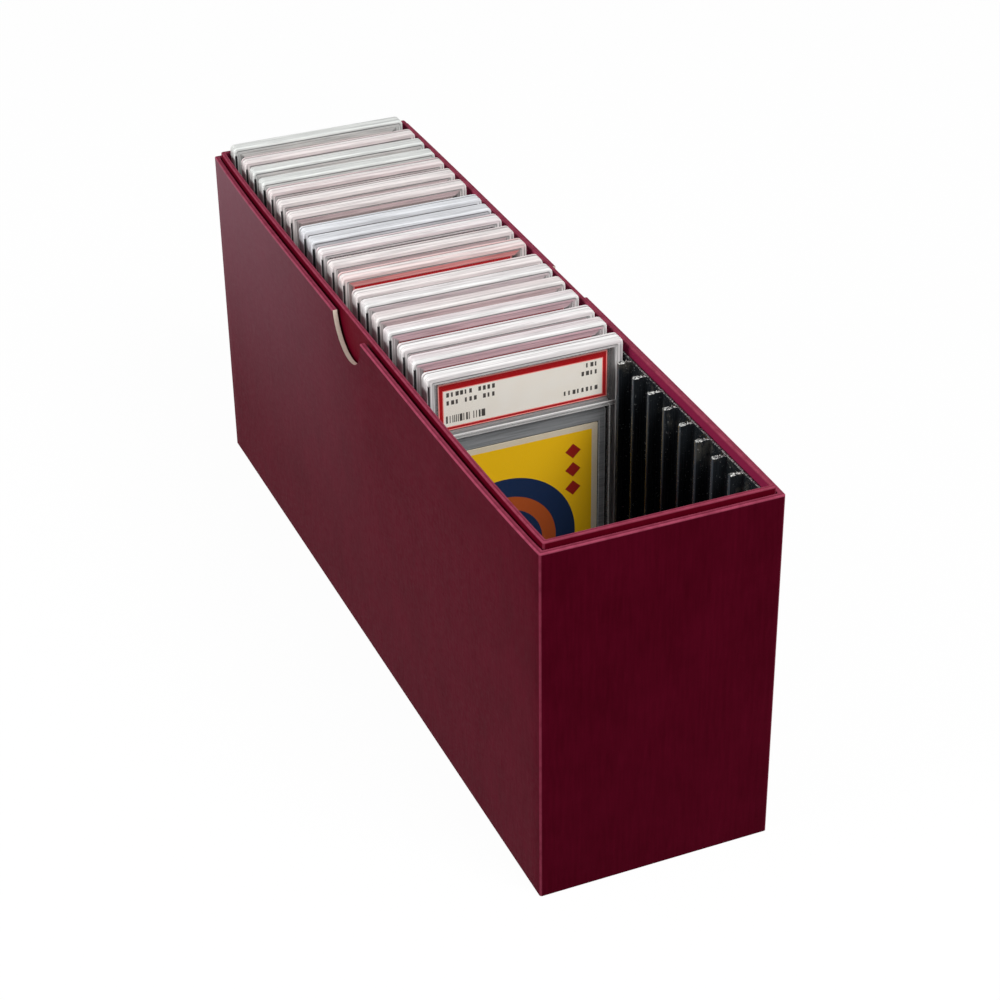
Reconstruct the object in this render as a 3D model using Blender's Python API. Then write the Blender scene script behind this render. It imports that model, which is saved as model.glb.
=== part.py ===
"""Graded card storage case: a long box of paper-wrapped board that holds a row of clear card
slabs on edge. An inner tray, with a foam pad on its floor and a slotted strip along each side,
stands in the outer box and lifts out of it. Each slab stands in one pair of slots.

Metres, +Z up, X across the box, Y along it. The origin is on the ground at the middle of the box.
The slabs face -Y, and the empty slots are at that end.
"""

import math

import bmesh
import bpy
from mathutils import Matrix, Vector

# The clearance that glued, welded or standing pieces keep to each other
SEAT_GAP = 0.0003
# How far a cutter runs past what it cuts
CUT_OVERRUN = 0.0020

# A trading card, and the label above it
CARD_WIDTH = 0.0635
CARD_HEIGHT = 0.0889
CARD_THICKNESS = 0.0004
LABEL_HEIGHT = 0.0206
LABEL_THICKNESS = 0.0004

# The clear frame that centres the card in its slab
FRAME_BORDER = 0.0030
FRAME_HEAD = 0.0065
FRAME_THICKNESS = 0.0020
FRAME_LEDGE = 0.0012
FRAME_LEDGE_THICKNESS = 0.0010

# The slab's two clear shells, welded round their edge
CASE_SIDE = 0.0059
CASE_HEAD = 0.0052
CASE_FOOT = 0.0073
CASE_DIVIDER = 0.0032
LABEL_SIDE = 0.0052
WINDOW_THICKNESS = 0.0013
SLAB_CORNER = 0.0020
SLAB_EDGE_ROUND = 0.0004
STACKING_RIM_WIDTH = 0.0026
STACKING_RIM_HEIGHT = 0.0004
DIVIDER_BAR_WIDTH = 0.0020
WINDOW_CORNER = 0.0012

# The slotted strips: a back plate with ribs that end in a thicker bead. The first rib stands
# close to the front wall, and the last slot lies between the last rib and the back wall. The
# right strip's top shows, and the left one ends lower down.
RIB_COUNT = 27
SLOT_PLAY = 0.0050
FRONT_END_GAP = 0.0034
END_SLOT_PLAY = 0.0056
SLOT_SIDE_PLAY = 0.0009
STRIP_BACK_THICKNESS = 0.0010
STRIP_DROP_RIGHT = 0.0043
STRIP_DROP_LEFT = 0.0120
RIB_HOLD = 0.0048
RIB_WEB = 0.0013
RIB_ROOT = 0.0026
RIB_ROOT_DEPTH = 0.0008
BEAD_WIDTH = 0.0022
BEAD_DEPTH = 0.0029
BEAD_SHOULDER = 0.0005
BEAD_ROUND = 0.0007

# The foam pad that the slabs and the strips stand on
PAD_THICKNESS = 0.0180

# The inner tray
TRAY_BOARD = 0.0018
SLAB_PROUD = 0.0043

# The outer box, its thumb notches, and the outward spring of its long walls at the rim
BOX_BOARD = 0.0022
TRAY_FIT = 0.0003
TRAY_PROUD = 0.0027
WRAP_ROUND = 0.0004
RIM_SPRING = 0.0020
NOTCH_RADIUS = 0.0160
NOTCH_RISE = 0.0004

# The row of slabs, front to back. Each place share is where a slab stands in the play of its
# slot, from -1 against the rib in front of it to 1 against the rib behind. The side share is the
# same from the left strip to the right one, and all slabs have it.
SLAB_COUNT = 19
SLAB_PLACE_SHARES = (
    0.3, 0.96, 0.1, 0.96, 0.9, 0.75, -0.75, 0.96, 0.96, 0.96, 0.1, -0.96, 0.96, 0.96, 0.9, 0.0, -0.1, -0.8, 0.4,
)
SLAB_SIDE_SHARE = -0.8

CORNER_STEPS = 3
WINDOW_STEPS = 1
NOTCH_STEPS = 40
SPRING_STEPS_LONG = 12
SPRING_STEPS_HIGH = 4

# A slab, worked out from the card outwards
frame_width = CARD_WIDTH + 2 * (SEAT_GAP + FRAME_BORDER)
frame_height = CARD_HEIGHT + 2 * SEAT_GAP + FRAME_HEAD + FRAME_BORDER
slab_width = frame_width + 2 * (SEAT_GAP + CASE_SIDE)
label_width = slab_width - 2 * (LABEL_SIDE + SEAT_GAP)
frame_low = CASE_FOOT + SEAT_GAP
frame_high = frame_low + frame_height
card_low = frame_low + FRAME_BORDER + SEAT_GAP
divider_middle = frame_high + SEAT_GAP + CASE_DIVIDER / 2
label_low = frame_high + 2 * SEAT_GAP + CASE_DIVIDER
label_high = label_low + LABEL_HEIGHT
slab_height = label_high + SEAT_GAP + CASE_HEAD
frame_pocket = (FRAME_THICKNESS + SEAT_GAP) / 2
label_pocket = (LABEL_THICKNESS + SEAT_GAP) / 2
shell_thickness = frame_pocket + WINDOW_THICKNESS + STACKING_RIM_HEIGHT
slab_thickness = 2 * shell_thickness + SEAT_GAP

# The strips and the inside of the tray, worked out from the slab
rib_pitch = slab_thickness + SLOT_PLAY + BEAD_WIDTH
rib_reach = SLOT_SIDE_PLAY + RIB_HOLD
rib_span = (RIB_COUNT - 1) * rib_pitch + BEAD_WIDTH
tray_inner_length = FRONT_END_GAP + rib_span + slab_thickness + END_SLOT_PLAY
first_rib = FRONT_END_GAP + BEAD_WIDTH / 2 - tray_inner_length / 2
tray_inner_width = slab_width + 2 * (SLOT_SIDE_PLAY + STRIP_BACK_THICKNESS + SEAT_GAP)
tray_width = tray_inner_width + 2 * TRAY_BOARD
tray_length = tray_inner_length + 2 * TRAY_BOARD

# Heights in the tray, from its underside
pad_low = TRAY_BOARD + SEAT_GAP
pad_high = pad_low + PAD_THICKNESS
slab_stand = pad_high + SEAT_GAP
tray_height = slab_stand + slab_height - SLAB_PROUD

# The outer box, worked out from the tray
tray_stand = BOX_BOARD + SEAT_GAP
box_width = tray_width + 2 * (TRAY_FIT + BOX_BOARD)
box_length = tray_length + 2 * (TRAY_FIT + BOX_BOARD)
box_height = tray_stand + tray_height - TRAY_PROUD


def clear_scene():
    """Remove every object of the startup scene."""
    for item in list(bpy.data.objects):
        bpy.data.objects.remove(item, do_unlink=True)


def finish(name, colour, roughness, transmission=0.0):
    """Return a new Principled material."""
    material = bpy.data.materials.new(name)
    material.use_nodes = True
    shader = material.node_tree.nodes["Principled BSDF"]
    shader.inputs["Base Color"].default_value = (*colour, 1.0)
    shader.inputs["Roughness"].default_value = roughness
    shader.inputs["Metallic"].default_value = 0.0
    shader.inputs["Transmission Weight"].default_value = transmission
    material.diffuse_color = (*colour, 1.0 - transmission / 2)
    return material


def mesh_from(bm, name):
    """Turn a bmesh into mesh data whose faces point outwards."""
    bmesh.ops.recalc_face_normals(bm, faces=bm.faces)
    mesh = bpy.data.meshes.new(name)
    bm.to_mesh(mesh)
    bm.free()
    return mesh


def add_piece(name, mesh, material, parent=None):
    """Put mesh data into the scene as a piece, in its parent's coordinates."""
    piece = bpy.data.objects.new(name, mesh)
    bpy.context.scene.collection.objects.link(piece)
    piece.parent = parent
    if material is not None and not mesh.materials:
        mesh.materials.append(material)
    return piece


def add_empty(name, place, parent=None):
    """Add the empty that a moving group hangs from, on the group's line of travel."""
    empty = bpy.data.objects.new(name, None)
    bpy.context.scene.collection.objects.link(empty)
    empty.location = place
    empty.parent = parent
    return empty


def block(bm, low, high):
    """Add a box between two corners and return its vertices."""
    size = Vector(high) - Vector(low)
    centre = (Vector(high) + Vector(low)) / 2
    shape = Matrix.Translation(centre) @ Matrix.Diagonal((*size, 1.0))
    return bmesh.ops.create_cube(bm, size=1.0, matrix=shape)["verts"]


def rounded_rectangle(width, low, high, radius, steps):
    """Points of an upright rectangle with round corners, anticlockwise seen from -Y, as (x, z)."""
    half = width / 2
    corners = (
        (half - radius, low + radius, -90),
        (half - radius, high - radius, 0),
        (radius - half, high - radius, 90),
        (radius - half, low + radius, 180),
    )
    points = []
    for x, z, start in corners:
        for step in range(steps + 1):
            turn = math.radians(start + 90 * step / steps)
            points.append((x + radius * math.cos(turn), z + radius * math.sin(turn)))
    return points


def upright_prism(bm, outline, near, far):
    """Extrude an (x, z) outline from y = near to y = far, and return its far face."""
    ring = [bm.verts.new((x, near, z)) for x, z in outline]
    face = bm.faces.new(ring)
    grown = bmesh.ops.extrude_face_region(bm, geom=[face], use_keep_orig=True)
    moved = [item for item in grown["geom"] if isinstance(item, bmesh.types.BMVert)]
    bmesh.ops.translate(bm, verts=moved, vec=(0.0, far - near, 0.0))
    return next(item for item in grown["geom"] if isinstance(item, bmesh.types.BMFace))


def cut(piece, cutter):
    """Cut one object from another with an exact Boolean."""
    modifier = piece.modifiers.new("cut " + cutter.name, "BOOLEAN")
    modifier.operation = "DIFFERENCE"
    modifier.solver = "EXACT"
    modifier.object = cutter


def add_cutter(name, bm):
    """Add a cutting body that isn't part of the object."""
    cutter = add_piece(name, mesh_from(bm, name), None)
    cutter.hide_render = True
    cutter.display_type = "WIRE"
    return cutter


def round_top_edges(bm, top, width):
    """Chamfer the edges that lie at the height top, as the paper wrap rounds them."""
    edges = [edge for edge in bm.edges if min(vert.co.z for vert in edge.verts) > top - width / 2]
    bmesh.ops.bevel(bm, geom=edges, offset=width, segments=1, affect="EDGES", profile=0.5)


def board_wall(name, low, high, material, parent=None):
    """A wall of wrapped board, with its rim's edges rounded by the wrap."""
    bm = bmesh.new()
    block(bm, low, high)
    round_top_edges(bm, high[2], WRAP_ROUND)
    return add_piece(name, mesh_from(bm, name), material, parent)


def board_panel(name, low, high, material, parent=None):
    """A flat panel of board or foam."""
    bm = bmesh.new()
    block(bm, low, high)
    return add_piece(name, mesh_from(bm, name), material, parent)


def sprung_wall(name, side, material):
    """A long wall of the outer box. It springs outward by RIM_SPRING at the middle of its rim,
    as a parabola along its length and a square law up its height."""
    inner = side * (box_width / 2 - BOX_BOARD)
    outer = side * box_width / 2
    bm = bmesh.new()
    low = (min(inner, outer), -box_length / 2, 0.0)
    high = (max(inner, outer), box_length / 2, box_height)
    block(bm, low, high)
    round_top_edges(bm, box_height, WRAP_ROUND)
    for step in range(1, SPRING_STEPS_LONG):
        y = box_length * (step / SPRING_STEPS_LONG - 1 / 2)
        parts = bm.verts[:] + bm.edges[:] + bm.faces[:]
        bmesh.ops.bisect_plane(bm, geom=parts, plane_co=(0.0, y, 0.0), plane_no=(0.0, 1.0, 0.0))
    for step in range(1, SPRING_STEPS_HIGH):
        z = box_height * step / SPRING_STEPS_HIGH
        parts = bm.verts[:] + bm.edges[:] + bm.faces[:]
        bmesh.ops.bisect_plane(bm, geom=parts, plane_co=(0.0, 0.0, z), plane_no=(0.0, 0.0, 1.0))
    for vert in bm.verts:
        along = 1 - (2 * vert.co.y / box_length) ** 2
        vert.co.x += side * RIM_SPRING * along * (vert.co.z / box_height) ** 2
    return add_piece(name, mesh_from(bm, name), material)


def notch_cutter():
    """The half-round thumb notch, cut through both long walls at the middle of the rim."""
    bm = bmesh.new()
    reach = box_width + 2 * (RIM_SPRING + CUT_OVERRUN)
    bmesh.ops.create_cone(
        bm,
        cap_ends=True,
        segments=NOTCH_STEPS,
        radius1=NOTCH_RADIUS,
        radius2=NOTCH_RADIUS,
        depth=reach,
        matrix=Matrix.Translation((0.0, 0.0, box_height + NOTCH_RISE)) @ Matrix.Rotation(math.pi / 2, 4, "Y"),
    )
    return add_cutter("thumb_notch_cutter", bm)


def add_outer_box(board):
    """The outer box: its base between four walls, the long ones notched for the thumbs."""
    across = box_width / 2 - BOX_BOARD - SEAT_GAP
    end_inner = box_length / 2 - BOX_BOARD
    base_end = end_inner - SEAT_GAP
    board_panel("outer_box_base", (-across, -base_end, 0.0), (across, base_end, BOX_BOARD), board)
    for name, near, far in (("front", -box_length / 2, -end_inner), ("back", end_inner, box_length / 2)):
        board_wall(f"outer_box_wall_{name}", (-across, near, 0.0), (across, far, box_height), board)
    cutter = notch_cutter()
    for name, side in (("left", -1), ("right", 1)):
        cut(sprung_wall(f"outer_box_wall_{name}", side, board), cutter)


def add_tray(board, foam):
    """The inner tray and the pad on its floor, hung from the empty that it lifts by."""
    lift = add_empty("inner_tray_lift", (0.0, 0.0, tray_stand))
    inner_x = tray_inner_width / 2
    inner_y = tray_inner_length / 2
    outer_x = tray_width / 2
    outer_y = tray_length / 2
    across = inner_x - SEAT_GAP
    along = inner_y - SEAT_GAP
    board_panel("inner_tray_base", (-across, -along, 0.0), (across, along, TRAY_BOARD), board, lift)
    for name, left, right in (("left", -outer_x, -inner_x), ("right", inner_x, outer_x)):
        low = (left, -outer_y, 0.0)
        high = (right, outer_y, tray_height)
        board_wall(f"inner_tray_wall_{name}", low, high, board, lift)
    for name, near, far in (("front", -outer_y, -inner_y), ("back", inner_y, outer_y)):
        low = (-across, near, 0.0)
        high = (across, far, tray_height)
        board_wall(f"inner_tray_wall_{name}", low, high, board, lift)
    board_panel("base_pad", (-across, -along, pad_low), (across, along, pad_high), foam, lift)
    return lift


def rib_outline(face, side, middle):
    """One rib, from its +Y flank round the tip to its -Y flank: a splayed root, a thin web,
    and a thicker bead with rounded corners along the tip."""
    root = face - side * RIB_ROOT_DEPTH
    neck = face - side * (rib_reach - BEAD_DEPTH)
    shoulder = neck - side * BEAD_SHOULDER
    tip = face - side * rib_reach
    flank = [
        (face, RIB_ROOT / 2),
        (root, RIB_WEB / 2),
        (neck, RIB_WEB / 2),
        (shoulder, BEAD_WIDTH / 2),
        (tip + side * BEAD_ROUND, BEAD_WIDTH / 2),
        (tip, BEAD_WIDTH / 2 - BEAD_ROUND),
    ]
    return [(x, middle + y) for x, y in flank] + [(x, middle - y) for x, y in reversed(flank)]


def rib_middle(rib):
    """The y of a rib's middle. Rib 0 is the one by the front wall."""
    return first_rib + rib * rib_pitch


def add_slot_strip(name, side, drop, plastic, lift):
    """A slotted strip: one outline of back plate and ribs, extruded up the wall until it is the
    length drop below the tray's rim."""
    back = side * (tray_inner_width / 2 - SEAT_GAP)
    face = back - side * STRIP_BACK_THICKNESS
    end = tray_inner_length / 2 - SEAT_GAP
    outline = [(back, -end), (back, end), (face, end)]
    for rib in reversed(range(RIB_COUNT)):
        outline += rib_outline(face, side, rib_middle(rib))
    outline.append((face, -end))
    bm = bmesh.new()
    profile = bm.faces.new([bm.verts.new((x, y, slab_stand)) for x, y in outline])
    grown = bmesh.ops.extrude_face_region(bm, geom=[profile], use_keep_orig=True)
    raised = [item for item in grown["geom"] if isinstance(item, bmesh.types.BMVert)]
    bmesh.ops.translate(bm, verts=raised, vec=(0.0, 0.0, tray_height - drop - slab_stand))
    return add_piece(name, mesh_from(bm, name), plastic, lift)


def shell_mesh(name, side, plastic):
    """One shell of a slab. side is -1 for the front shell and 1 for the back one. Its outer face
    has a stacking rim and a bar between two sunk windows, and its inner face has a pocket for
    the label and one for the frame that holds the card."""
    seam = side * SEAT_GAP / 2
    outer = side * slab_thickness / 2
    bm = bmesh.new()
    outline = rounded_rectangle(slab_width, 0.0, slab_height, SLAB_CORNER, CORNER_STEPS)
    face = upright_prism(bm, outline, seam, outer)
    bmesh.ops.bevel(bm, geom=face.edges[:], offset=SLAB_EDGE_ROUND, segments=1, affect="EDGES", profile=0.5)
    plate = add_piece(name + "_plate", mesh_from(bm, name), plastic)

    sunk = outer - side * STACKING_RIM_HEIGHT
    clear = outer + side * CUT_OVERRUN
    window_width = slab_width - 2 * STACKING_RIM_WIDTH
    bar_low = divider_middle - DIVIDER_BAR_WIDTH / 2
    bar_high = divider_middle + DIVIDER_BAR_WIDTH / 2
    pockets = bmesh.new()
    for low, high in ((STACKING_RIM_WIDTH, bar_low), (bar_high, slab_height - STACKING_RIM_WIDTH)):
        window = rounded_rectangle(window_width, low, high, WINDOW_CORNER, WINDOW_STEPS)
        upright_prism(pockets, window, sunk, clear)
    beyond = seam - side * CUT_OVERRUN
    for width, low, high, depth in (
        (frame_width, frame_low, frame_high, frame_pocket),
        (label_width, label_low, label_high, label_pocket),
    ):
        floor = seam + side * depth
        reach = width / 2 + SEAT_GAP
        near = (-reach, min(beyond, floor), low - SEAT_GAP)
        far = (reach, max(beyond, floor), high + SEAT_GAP)
        block(pockets, near, far)
    cutter = add_cutter(name + "_pockets", pockets)
    cut(plate, cutter)
    graph = bpy.context.evaluated_depsgraph_get()
    mesh = bpy.data.meshes.new_from_object(plate.evaluated_get(graph))
    mesh.name = name
    bpy.data.objects.remove(plate)
    bpy.data.objects.remove(cutter)
    return mesh


def add_card_frame(plastic, slab):
    """The clear frame round the card: a rabbet that the card lies in, over a narrow ledge."""
    bm = bmesh.new()
    half = frame_width / 2
    near = -FRAME_THICKNESS / 2
    far = FRAME_THICKNESS / 2
    block(bm, (-half, near, frame_low), (half, far, frame_high))
    frame = add_piece("slab_01_card_frame", mesh_from(bm, "card_frame"), plastic, slab)
    opening = bmesh.new()
    rabbet = CARD_WIDTH / 2 + SEAT_GAP
    rabbet_low = card_low - SEAT_GAP
    rabbet_high = card_low + CARD_HEIGHT + SEAT_GAP
    floor = far - FRAME_LEDGE_THICKNESS
    block(opening, (-rabbet, near - CUT_OVERRUN, rabbet_low), (rabbet, floor, rabbet_high))
    window = bmesh.new()
    sill = CARD_WIDTH / 2 - FRAME_LEDGE
    sill_low = card_low + FRAME_LEDGE
    sill_high = card_low + CARD_HEIGHT - FRAME_LEDGE
    block(window, (-sill, near, sill_low), (sill, far + CUT_OVERRUN, sill_high))
    for name, body in (("card_rabbet_cutter", opening), ("card_sill_cutter", window)):
        cutter = add_cutter(name, body)
        cutter.parent = slab
        cut(frame, cutter)


def add_slab_contents(materials, slab):
    """The label, the card and its frame, in the slab that faces the viewer."""
    half = label_width / 2
    near = -LABEL_THICKNESS / 2
    low = (-half, near, label_low)
    high = (half, near + LABEL_THICKNESS, label_high)
    board_panel("slab_01_label", low, high, materials["label"], slab)
    add_card_frame(materials["frame"], slab)
    back = FRAME_THICKNESS / 2 - FRAME_LEDGE_THICKNESS - SEAT_GAP
    low = (-CARD_WIDTH / 2, back - CARD_THICKNESS, card_low)
    high = (CARD_WIDTH / 2, back, card_low + CARD_HEIGHT)
    board_panel("slab_01_card", low, high, materials["card"], slab)


def slab_place(number):
    """The y of a slab's seam, numbered from the front. The row fills the slots at the back, and
    the last slab stands between the last rib and the back wall."""
    slot = RIB_COUNT + number - SLAB_COUNT
    if slot == RIB_COUNT:
        play = END_SLOT_PLAY
        middle = (tray_inner_length - slab_thickness - END_SLOT_PLAY) / 2
    else:
        play = SLOT_PLAY
        middle = (rib_middle(slot - 1) + rib_middle(slot)) / 2
    share = SLAB_PLACE_SHARES[(number - 1) % len(SLAB_PLACE_SHARES)]
    return middle + share * (play / 2 - SEAT_GAP)


def add_slabs(materials, lift):
    """The row of slabs. All front shells share one mesh, and so do all back shells."""
    front = shell_mesh("slab_front_shell", -1, materials["shell"])
    back = shell_mesh("slab_back_shell", 1, materials["shell"])
    aside = SLAB_SIDE_SHARE * (SLOT_SIDE_PLAY - SEAT_GAP)
    for number in range(1, SLAB_COUNT + 1):
        slab = add_empty(f"slab_{number:02d}_lift", (aside, slab_place(number), slab_stand), lift)
        add_piece(f"slab_{number:02d}_front_shell", front, materials["shell"], slab)
        add_piece(f"slab_{number:02d}_back_shell", back, materials["shell"], slab)
        if number == 1:
            add_slab_contents(materials, slab)


def main():
    clear_scene()
    materials = {
        "box": finish("burgundy wrapped board", (0.105, 0.012, 0.032), 0.55),
        "tray": finish("burgundy wrapped tray board", (0.085, 0.006, 0.022), 0.55),
        "foam": finish("dark foam", (0.020, 0.020, 0.022), 0.90),
        "strip": finish("black moulded plastic", (0.006, 0.006, 0.007), 0.25),
        "shell": finish("clear polystyrene shell", (0.820, 0.830, 0.840), 0.08, 0.9),
        "frame": finish("clear card frame", (0.700, 0.720, 0.740), 0.15, 0.8),
        "label": finish("coated label paper", (0.700, 0.640, 0.560), 0.45),
        "card": finish("printed card stock", (0.800, 0.620, 0.060), 0.40),
    }
    add_outer_box(materials["box"])
    lift = add_tray(materials["tray"], materials["foam"])
    for name, side, drop in (("left", -1, STRIP_DROP_LEFT), ("right", 1, STRIP_DROP_RIGHT)):
        add_slot_strip(f"slot_strip_{name}", side, drop, materials["strip"], lift)
    add_slabs(materials, lift)


main()
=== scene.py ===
"""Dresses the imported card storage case: wrapped board, slotted plastic strips and clear slabs.

Metres, +Z up, X across the box, Y along it, as in the CAD. A size is written in millimetres times MM.
"""
import math

import bmesh
import bpy
import numpy as np
from mathutils import Matrix, Vector


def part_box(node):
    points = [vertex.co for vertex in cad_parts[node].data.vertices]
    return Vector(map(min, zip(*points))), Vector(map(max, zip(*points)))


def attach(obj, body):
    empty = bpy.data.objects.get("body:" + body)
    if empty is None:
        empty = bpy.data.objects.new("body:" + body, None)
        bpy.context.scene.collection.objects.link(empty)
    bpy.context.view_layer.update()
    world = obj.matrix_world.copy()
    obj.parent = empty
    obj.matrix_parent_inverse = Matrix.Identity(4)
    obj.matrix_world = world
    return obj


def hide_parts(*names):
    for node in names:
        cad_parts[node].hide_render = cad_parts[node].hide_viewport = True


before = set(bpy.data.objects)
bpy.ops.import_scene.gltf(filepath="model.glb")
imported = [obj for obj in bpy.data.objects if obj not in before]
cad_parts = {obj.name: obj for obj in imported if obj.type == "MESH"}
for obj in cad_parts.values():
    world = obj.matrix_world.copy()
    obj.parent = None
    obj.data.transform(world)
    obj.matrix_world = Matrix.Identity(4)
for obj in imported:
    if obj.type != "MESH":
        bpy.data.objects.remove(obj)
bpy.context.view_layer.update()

MM = 0.001

# The Mix node's colour inputs
MIX_A = 6
MIX_B = 7

# A mesh's edges are sharp from this angle between their faces
SHARP_ANGLE = math.radians(35.0)

# The gap that the CAD keeps between boards that touch
CAD_GAP = 0.3 * MM
# How far the left and the right long wall spring out at the middle of their rim
BOX_SPRINGS = (2.8 * MM, 0.8 * MM)
TRAY_SPRINGS = (2.2 * MM, 0.0)
# The thumb notches' circle, and how far above the rim its centre is
NOTCH_RADIUS = 16.0 * MM
NOTCH_RISE = 0.4 * MM

# The slotted strips: a thin plate with ribs, which have a splayed root, a web, and a bead at the tip
STRIP_PLATE = 1.0 * MM
RIBS = 27
RIB_PITCH = 13.2 * MM
FIRST_RIB = -175.7 * MM
RIB_MIDDLES = FIRST_RIB + RIB_PITCH * np.arange(RIBS)
RIB_REACH = 5.7 * MM
ROOT_DEPTH = 0.9 * MM
WEB_HALF = 0.65 * MM
BEAD_HALF = 1.1 * MM
BEAD_START = 2.6 * MM
BEAD_SWELL = 0.8 * MM
TIP_RADIUS = 0.75 * MM

# A slab, as in the CAD. Heights are from its foot, and depths from the plane where its halves meet.
SLAB_WIDTH = 82.5 * MM
SLAB_HEIGHT = 136.5 * MM
SLAB_HALF_DEPTH = 3.0 * MM
SLAB_CORNER = 2.0 * MM
RIM_RISE = 0.4 * MM
WINDOW_BACK = 1.3 * MM
FRAME_SIZE = (70.1 * MM, 99.0 * MM)
FRAME_MIDDLE = 57.1 * MM
FRAME_HEAD_EXTRA = 3.5 * MM
CARD_SIZE = (63.5 * MM, 88.9 * MM)
CARD_MIDDLE = 55.35 * MM
LABEL_SIZE = (71.5 * MM, 20.6 * MM)
LABEL_MIDDLE = 120.7 * MM
# The bar below the label, the wall inside it, and the lip round the card's window
DIVIDER_MIDDLE = 108.5 * MM
DIVIDER_BAR_SIZE = (77.0 * MM, 2.0 * MM)
DIVIDER_WALL_SIZE = (71.6 * MM, 2.6 * MM)
LIP_SIZE = (72.4 * MM, 102.6 * MM)
LIP_MIDDLE = 57.6 * MM

# Printing, in millimetres: the width of a column of the label's blocks, the width of a column of its
# ticks, and a card's pale border
BLOCK_PITCH = 1.9
TICK_PITCH = 0.38
CARD_BORDER = 2.55
# The label's lines of blocks: height above its middle, first and last column, how many columns there
# are from one gap to the next, and a seed
BLOCK_LINES = (
    (5.3, -17, -7, 7.0, 17.0),
    (1.8, -17, -7, 4.0, 41.0),
    (5.3, 14, 16, 9.0, 4.0),
    (1.8, 13, 16, 9.0, 23.0),
    (-5.3, 9, 16, 9.0, 54.0),
)

first_low, first_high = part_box("slab_01_front_shell")
slab_foot = first_low.z
slab_aside = (first_low.x + first_high.x) / 2


def grid_faces(rows, columns, wrap_rows, wrap_columns):
    """Corner numbers of a grid's faces, with the last row or column joined to the first where wrapped."""
    row, column = np.meshgrid(
        np.arange(rows if wrap_rows else rows - 1),
        np.arange(columns if wrap_columns else columns - 1),
        indexing="ij",
    )
    next_row = (row + 1) % rows
    next_column = (column + 1) % columns
    corners = (
        row * columns + column,
        row * columns + next_column,
        next_row * columns + next_column,
        next_row * columns + column,
    )
    return np.stack(corners, axis=-1).reshape(-1, 4)


def surface(points, wrap_rows=False, wrap_columns=False, caps=False, **values):
    """A surface from points of shape rows x columns x 3, or copies x rows x columns x 3. caps closes
    the first and last row with a face. values are numbers per point, for the material to read."""
    points = np.asarray(points, float)
    if points.ndim == 3:
        points = points[None]
    copies, rows, columns = points.shape[:3]
    starts = np.arange(copies) * rows * columns
    quads = grid_faces(rows, columns, wrap_rows, wrap_columns)
    faces = (quads[None] + starts[:, None, None]).reshape(-1, 4).tolist()
    if caps:
        ring = np.arange(columns)
        faces += (ring[::-1][None] + starts[:, None]).tolist()
        faces += (ring[None] + starts[:, None] + (rows - 1) * columns).tolist()
    numbers = {key: np.broadcast_to(value, points.shape[:3]).ravel() for key, value in values.items()}
    return points.reshape(-1, 3), faces, numbers


def make_piece(name, parts, material, body, stands_for=()):
    """Join surfaces into one piece whose faces point outwards, and hang it on its body."""
    vertices = []
    faces = []
    offset = 0
    for points, corners, _ in parts:
        vertices.append(points)
        faces += [[offset + corner for corner in face] for face in corners]
        offset += len(points)
    mesh = bpy.data.meshes.new(name)
    mesh.from_pydata(np.concatenate(vertices).tolist(), [], faces)
    for key in sorted({key for part in parts for key in part[2]}):
        layer = mesh.attributes.new(key, "FLOAT", "POINT")
        joined = [part[2].get(key, np.zeros(len(part[0]))) for part in parts]
        layer.data.foreach_set("value", np.concatenate(joined).astype(np.float32))
    bm = bmesh.new()
    bm.from_mesh(mesh)
    bmesh.ops.remove_doubles(bm, verts=bm.verts, dist=1e-6)
    bmesh.ops.recalc_face_normals(bm, faces=bm.faces)
    bm.to_mesh(mesh)
    bm.free()
    mesh.polygons.foreach_set("use_smooth", np.ones(len(mesh.polygons), bool))
    mesh.set_sharp_from_angle(angle=SHARP_ANGLE)
    mesh.materials.append(material)
    piece = bpy.data.objects.new(name, mesh)
    bpy.context.scene.collection.objects.link(piece)
    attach(piece, body)
    if stands_for:
        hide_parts(*stands_for)


def ring_path(stops_a=(), stops_b=(), steps=6):
    """The path round a rectangle with round corners, anticlockwise from its +a side. Each point has a
    place, out of reach where the rectangle's size decides it, and the direction it faces. The sides
    that run along a have points at stops_a, and those along b at stops_b."""
    reach = 1e3
    places = []
    facing = []
    turn = np.linspace(0.0, math.pi / 2, steps + 1)
    for side in range(4):
        heading = np.round([math.cos(side * math.pi / 2), math.sin(side * math.pi / 2)])
        stops = np.sort(np.asarray(stops_b if side % 2 == 0 else stops_a, float))
        if side in (1, 2):
            stops = stops[::-1]
        straight = np.tile(heading * reach, (len(stops), 1))
        straight[:, 1 - side % 2] = stops
        places.append(straight)
        facing.append(np.tile(heading, (len(stops), 1)))
        middle = (side + 0.5) * math.pi / 2
        corner = np.sign([math.cos(middle), math.sin(middle)]) * reach
        places.append(np.tile(corner, (steps + 1, 1)))
        angle = turn + side * math.pi / 2
        facing.append(np.stack([np.cos(angle), np.sin(angle)], -1))
    return np.concatenate(places), np.concatenate(facing)


def rings(half_a, half_b, radius, insets, path, tightest=0.2 * MM):
    """Rings of one path set in by each of insets: a clamped place plus the corner's radius times the
    direction faced. Returns a and b, each insets x points."""
    places, facing = path
    inset = np.asarray(insets, float)[:, None]
    round_by = np.maximum(radius - inset, tightest)
    limit_a = half_a - inset - round_by
    limit_b = half_b - inset - round_by
    a = np.clip(places[:, 0], -limit_a, limit_a) + round_by * facing[:, 0]
    b = np.clip(places[:, 1], -limit_b, limit_b) + round_by * facing[:, 1]
    return a, b


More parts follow.
